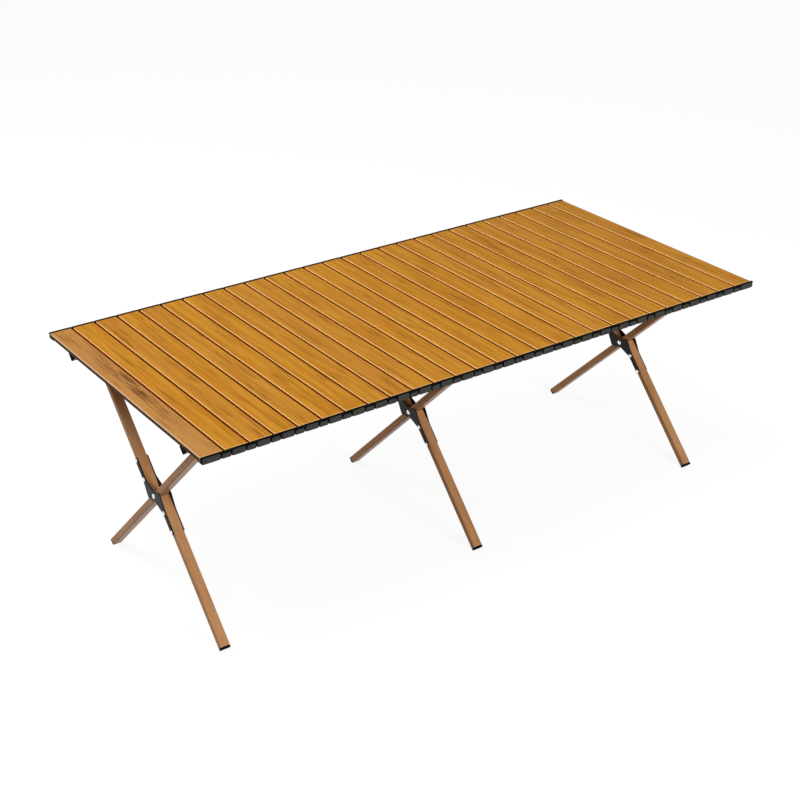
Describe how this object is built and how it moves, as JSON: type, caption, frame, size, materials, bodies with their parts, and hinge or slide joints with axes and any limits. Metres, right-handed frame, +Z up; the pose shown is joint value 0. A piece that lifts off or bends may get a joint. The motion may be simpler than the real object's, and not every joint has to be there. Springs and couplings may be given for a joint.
{
  "type": "folding camp table",
  "caption": "Low folding camp table: a roll-up top of wood-grain slats with charcoal end caps, laid on a frame of crossed tube legs that pivot on Z-shaped plates.",
  "frame": {"origin": "on the floor, under the middle of the table top", "axes": "+X along the table's length, +Y across it towards the back, +Z up"},
  "size_m": [1.2, 0.5624, 0.425],
  "materials": {
    "teak_film": "satin teak-grain film on extruded aluminium",
    "brown_enamel": "satin light-brown coating on aluminium tube",
    "charcoal_plastic": "matt charcoal moulded plastic",
    "black_steel": "satin black paint on pressed steel",
    "zinc_steel": "bright zinc-plated steel"
  },
  "bodies": {
    "through_frame": {"through_leg_1": "brown_enamel", "back_foot_1": "charcoal_plastic", "pivot_pin_1": "zinc_steel", "through_leg_2": "brown_enamel", "back_foot_2": "charcoal_plastic", "pivot_pin_2": "zinc_steel", "through_leg_3": "brown_enamel", "back_foot_3": "charcoal_plastic", "pivot_pin_3": "zinc_steel", "front_rail": "brown_enamel", "front_rail_plug_left": "charcoal_plastic", "front_rail_plug_right": "charcoal_plastic"},
    "split_frame": {"upper_leg_1": "brown_enamel", "lower_leg_1": "brown_enamel", "front_foot_1": "charcoal_plastic", "left_pivot_plate_1": "black_steel", "right_pivot_plate_1": "black_steel", "upper_leg_2": "brown_enamel", "lower_leg_2": "brown_enamel", "front_foot_2": "charcoal_plastic", "left_pivot_plate_2": "black_steel", "right_pivot_plate_2": "black_steel", "upper_leg_3": "brown_enamel", "lower_leg_3": "brown_enamel", "front_foot_3": "charcoal_plastic", "left_pivot_plate_3": "black_steel", "right_pivot_plate_3": "black_steel", "back_rail": "brown_enamel", "back_rail_plug_left": "charcoal_plastic", "back_rail_plug_right": "charcoal_plastic"},
    "slat_01": {"slat_01": "teak_film"},
    "slat_02": {"slat_02": "teak_film"},
    "slat_03": {"slat_03": "teak_film"},
    "slat_04": {"slat_04": "teak_film"},
    "slat_05": {"slat_05": "teak_film"},
    "slat_06": {"slat_06": "teak_film"},
    "slat_07": {"slat_07": "teak_film"},
    "slat_08": {"slat_08": "teak_film"},
    "slat_09": {"slat_09": "teak_film"},
    "slat_10": {"slat_10": "teak_film"},
    "slat_11": {"slat_11": "teak_film"},
    "slat_12": {"slat_12": "teak_film"},
    "slat_13": {"slat_13": "teak_film"},
    "slat_14": {"slat_14": "teak_film"},
    "slat_15": {"slat_15": "teak_film"},
    "slat_16": {"slat_16": "teak_film"},
    "slat_17": {"slat_17": "teak_film"},
    "slat_18": {"slat_18": "teak_film"},
    "slat_19": {"slat_19": "teak_film"},
    "slat_20": {"slat_20": "teak_film"},
    "slat_21": {"slat_21": "teak_film"},
    "slat_22": {"slat_22": "teak_film"},
    "slat_23": {"slat_23": "teak_film"},
    "slat_24": {"slat_24": "teak_film"},
    "slat_25": {"slat_25": "teak_film"},
    "slat_26": {"slat_26": "teak_film"},
    "slat_27": {"slat_27": "teak_film"}
  },
  "joints": [
    {"name": "top_lift", "type": "slide", "parent": "through_frame", "child": "slat_01", "axis": [0, 0, 1], "range_m": [0, 0.35]},
    {"name": "frame_fold", "type": "hinge", "parent": "through_frame", "child": "split_frame", "pos_m": [0, -0.00007, 0.20623], "axis": [1, 0, 0], "range_deg": [0, 88.1]},
    {"name": "roll_01", "type": "hinge", "parent": "slat_01", "child": "slat_02", "pos_m": [-0.55583, 0, 0.4234], "axis": [0, -1, 0], "range_deg": [0, 26.62]},
    {"name": "roll_02", "type": "hinge", "parent": "slat_02", "child": "slat_03", "pos_m": [-0.51137, 0, 0.4234], "axis": [0, -1, 0], "range_deg": [0, 27.07]},
    {"name": "roll_03", "type": "hinge", "parent": "slat_03", "child": "slat_04", "pos_m": [-0.4669, 0, 0.4234], "axis": [0, -1, 0], "range_deg": [0, 27.55]},
    {"name": "roll_04", "type": "hinge", "parent": "slat_04", "child": "slat_05", "pos_m": [-0.42243, 0, 0.4234], "axis": [0, -1, 0], "range_deg": [0, 28.05]},
    {"name": "roll_05", "type": "hinge", "parent": "slat_05", "child": "slat_06", "pos_m": [-0.37797, 0, 0.4234], "axis": [0, -1, 0], "range_deg": [0, 28.58]},
    {"name": "roll_06", "type": "hinge", "parent": "slat_06", "child": "slat_07", "pos_m": [-0.3335, 0, 0.4234], "axis": [0, -1, 0], "range_deg": [0, 29.14]},
    {"name": "roll_07", "type": "hinge", "parent": "slat_07", "child": "slat_08", "pos_m": [-0.28903, 0, 0.4234], "axis": [0, -1, 0], "range_deg": [0, 29.74]},
    {"name": "roll_08", "type": "hinge", "parent": "slat_08", "child": "slat_09", "pos_m": [-0.24457, 0, 0.4234], "axis": [0, -1, 0], "range_deg": [0, 30.37]},
    {"name": "roll_09", "type": "hinge", "parent": "slat_09", "child": "slat_10", "pos_m": [-0.2001, 0, 0.4234], "axis": [0, -1, 0], "range_deg": [0, 31.05]},
    {"name": "roll_10", "type": "hinge", "parent": "slat_10", "child": "slat_11", "pos_m": [-0.15563, 0, 0.4234], "axis": [0, -1, 0], "range_deg": [0, 31.78]},
    {"name": "roll_11", "type": "hinge", "parent": "slat_11", "child": "slat_12", "pos_m": [-0.11117, 0, 0.4234], "axis": [0, -1, 0], "range_deg": [0, 32.56]},
    {"name": "roll_12", "type": "hinge", "parent": "slat_12", "child": "slat_13", "pos_m": [-0.0667, 0, 0.4234], "axis": [0, -1, 0], "range_deg": [0, 33.41]},
    {"name": "roll_13", "type": "hinge", "parent": "slat_13", "child": "slat_14", "pos_m": [-0.02223, 0, 0.4234], "axis": [0, -1, 0], "range_deg": [0, 34.32]},
    {"name": "roll_14", "type": "hinge", "parent": "slat_14", "child": "slat_15", "pos_m": [0.02223, 0, 0.4234], "axis": [0, -1, 0], "range_deg": [0, 35.32]},
    {"name": "roll_15", "type": "hinge", "parent": "slat_15", "child": "slat_16", "pos_m": [0.0667, 0, 0.4234], "axis": [0, -1, 0], "range_deg": [0, 36.41]},
    {"name": "roll_16", "type": "hinge", "parent": "slat_16", "child": "slat_17", "pos_m": [0.11117, 0, 0.4234], "axis": [0, -1, 0], "range_deg": [0, 37.61]},
    {"name": "roll_17", "type": "hinge", "parent": "slat_17", "child": "slat_18", "pos_m": [0.15563, 0, 0.4234], "axis": [0, -1, 0], "range_deg": [0, 38.94]},
    {"name": "roll_18", "type": "hinge", "parent": "slat_18", "child": "slat_19", "pos_m": [0.2001, 0, 0.4234], "axis": [0, -1, 0], "range_deg": [0, 40.43]},
    {"name": "roll_19", "type": "hinge", "parent": "slat_19", "child": "slat_20", "pos_m": [0.24457, 0, 0.4234], "axis": [0, -1, 0], "range_deg": [0, 42.11]},
    {"name": "roll_20", "type": "hinge", "parent": "slat_20", "child": "slat_21", "pos_m": [0.28903, 0, 0.4234], "axis": [0, -1, 0], "range_deg": [0, 44.02]},
    {"name": "roll_21", "type": "hinge", "parent": "slat_21", "child": "slat_22", "pos_m": [0.3335, 0, 0.4234], "axis": [0, -1, 0], "range_deg": [0, 46.24]},
    {"name": "roll_22", "type": "hinge", "parent": "slat_22", "child": "slat_23", "pos_m": [0.37797, 0, 0.4234], "axis": [0, -1, 0], "range_deg": [0, 48.84]},
    {"name": "roll_23", "type": "hinge", "parent": "slat_23", "child": "slat_24", "pos_m": [0.42243, 0, 0.4234], "axis": [0, -1, 0], "range_deg": [0, 51.97]},
    {"name": "roll_24", "type": "hinge", "parent": "slat_24", "child": "slat_25", "pos_m": [0.4669, 0, 0.4234], "axis": [0, -1, 0], "range_deg": [0, 55.84]},
    {"name": "roll_25", "type": "hinge", "parent": "slat_25", "child": "slat_26", "pos_m": [0.51137, 0, 0.4234], "axis": [0, -1, 0], "range_deg": [0, 60.8]},
    {"name": "roll_26", "type": "hinge", "parent": "slat_26", "child": "slat_27", "pos_m": [0.55583, 0, 0.4234], "axis": [0, -1, 0], "range_deg": [0, 67.54]}
  ],
  "couplings": [
    {"joint": "frame_fold", "follows": "top_lift", "rad_per_m": 4.3883}
  ]
}
